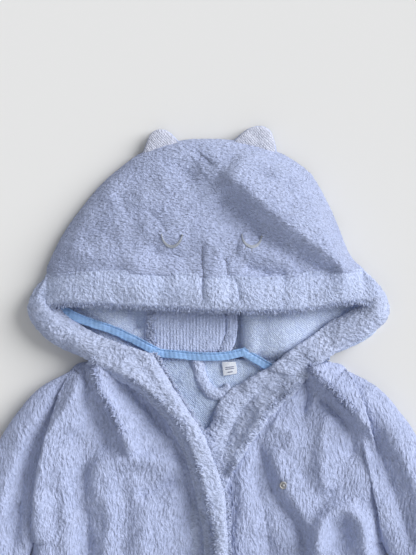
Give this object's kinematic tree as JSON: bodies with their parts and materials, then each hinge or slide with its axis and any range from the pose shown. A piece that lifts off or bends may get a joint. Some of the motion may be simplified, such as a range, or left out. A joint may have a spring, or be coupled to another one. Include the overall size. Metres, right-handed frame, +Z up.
{
  "type": "hooded baby towelling robe",
  "caption": "Toddler's hooded towelling robe with animal ears and a sleepy embroidered face, laid flat with its wrap-over front closed.",
  "frame": {"origin": "middle of the robe's bounding box, on the surface that it lies on", "axes": "+Z up from the surface that the robe lies on its back on, +Y from the hem to the hood, +X to the wearer's left"},
  "size_m": [0.5996, 0.758, 0.046],
  "materials": {
    "outer_fleece": "long-pile towelling, pale periwinkle blue",
    "edge_fleece": "the same towelling turned over at the edges, fuller pile",
    "inner_terry": "looped terry in fine ribs, pale blue",
    "ear_terry": "short looped terry, off-white",
    "neck_tape": "woven satin tape, mid blue",
    "thread": "silver-grey embroidery thread",
    "label": "woven label, white",
    "popper": "nickel, worn"
  },
  "bodies": {
    "torso": {"back_panel": "inner_terry", "right_front_panel": "outer_fleece", "left_front_panel": "outer_fleece"},
    "right_front": {"right_front_flap": "outer_fleece", "right_front_band": "edge_fleece", "popper_socket": "popper"},
    "left_front": {"left_front_flap": "outer_fleece", "left_front_band": "edge_fleece", "popper_stud": "popper"},
    "right_arm": {"right_sleeve": "outer_fleece", "right_cuff": "edge_fleece"},
    "left_arm": {"left_sleeve": "outer_fleece", "left_cuff": "edge_fleece"},
    "hood": {"hood_back_gusset": "inner_terry", "hood_back_right": "inner_terry", "hood_back_left": "inner_terry", "hood_face_panel": "outer_fleece", "hood_brim": "edge_fleece", "right_neck_band": "edge_fleece", "left_neck_band": "edge_fleece", "right_neck_tape": "neck_tape", "left_neck_tape": "neck_tape", "back_neck_tape": "neck_tape", "right_eye_embroidery": "thread", "left_eye_embroidery": "thread", "right_muzzle_stitch": "thread", "left_muzzle_stitch": "thread"},
    "right_ear": {"right_ear_back": "outer_fleece", "right_ear_front": "ear_terry"},
    "left_ear": {"left_ear_back": "outer_fleece", "left_ear_front": "ear_terry"},
    "label": {"size_label": "label"},
    "loop": {"hanger_loop": "edge_fleece"}
  },
  "joints": [
    {"name": "right_front_open", "type": "hinge", "parent": "torso", "child": "right_front", "pos_m": [-0.118, 0, 0.028], "axis": [0, -1, 0], "range_deg": [0, 140]},
    {"name": "left_front_open", "type": "hinge", "parent": "torso", "child": "left_front", "pos_m": [0.11, 0, 0.018], "axis": [0, 1, 0], "range_deg": [0, 70]},
    {"name": "right_arm_raise", "type": "hinge", "parent": "torso", "child": "right_arm", "pos_m": [-0.14, 0.131, 0.013], "axis": [0, 0, -1], "range_deg": [0, 38]},
    {"name": "left_arm_raise", "type": "hinge", "parent": "torso", "child": "left_arm", "pos_m": [0.14, 0.131, 0.013], "axis": [0, 0, 1], "range_deg": [0, 38]},
    {"name": "hood_lift", "type": "hinge", "parent": "torso", "child": "hood", "pos_m": [0, 0.143, 0.032], "axis": [1, 0, 0], "range_deg": [0, 75]},
    {"name": "right_ear_fold", "type": "hinge", "parent": "hood", "child": "right_ear", "pos_m": [-0.049, 0.358, 0.012], "axis": [1, 0, 0], "range_deg": [0, 80]},
    {"name": "left_ear_fold", "type": "hinge", "parent": "hood", "child": "left_ear", "pos_m": [0.045, 0.358, 0.012], "axis": [1, 0, 0], "range_deg": [0, 80]},
    {"name": "loop_lift", "type": "hinge", "parent": "torso", "child": "loop", "pos_m": [0, 0.1425, 0.0064], "axis": [-1, 0, 0], "range_deg": [0, 80]},
    {"name": "label_flip", "type": "hinge", "parent": "torso", "child": "label", "pos_m": [0, 0.1425, 0.0075], "axis": [-1, 0, 0], "range_deg": [0, 95]}
  ],
  "couplings": [
    {"joint": "left_front_open", "follows": "right_front_open", "ratio": 0.5}
  ]
}
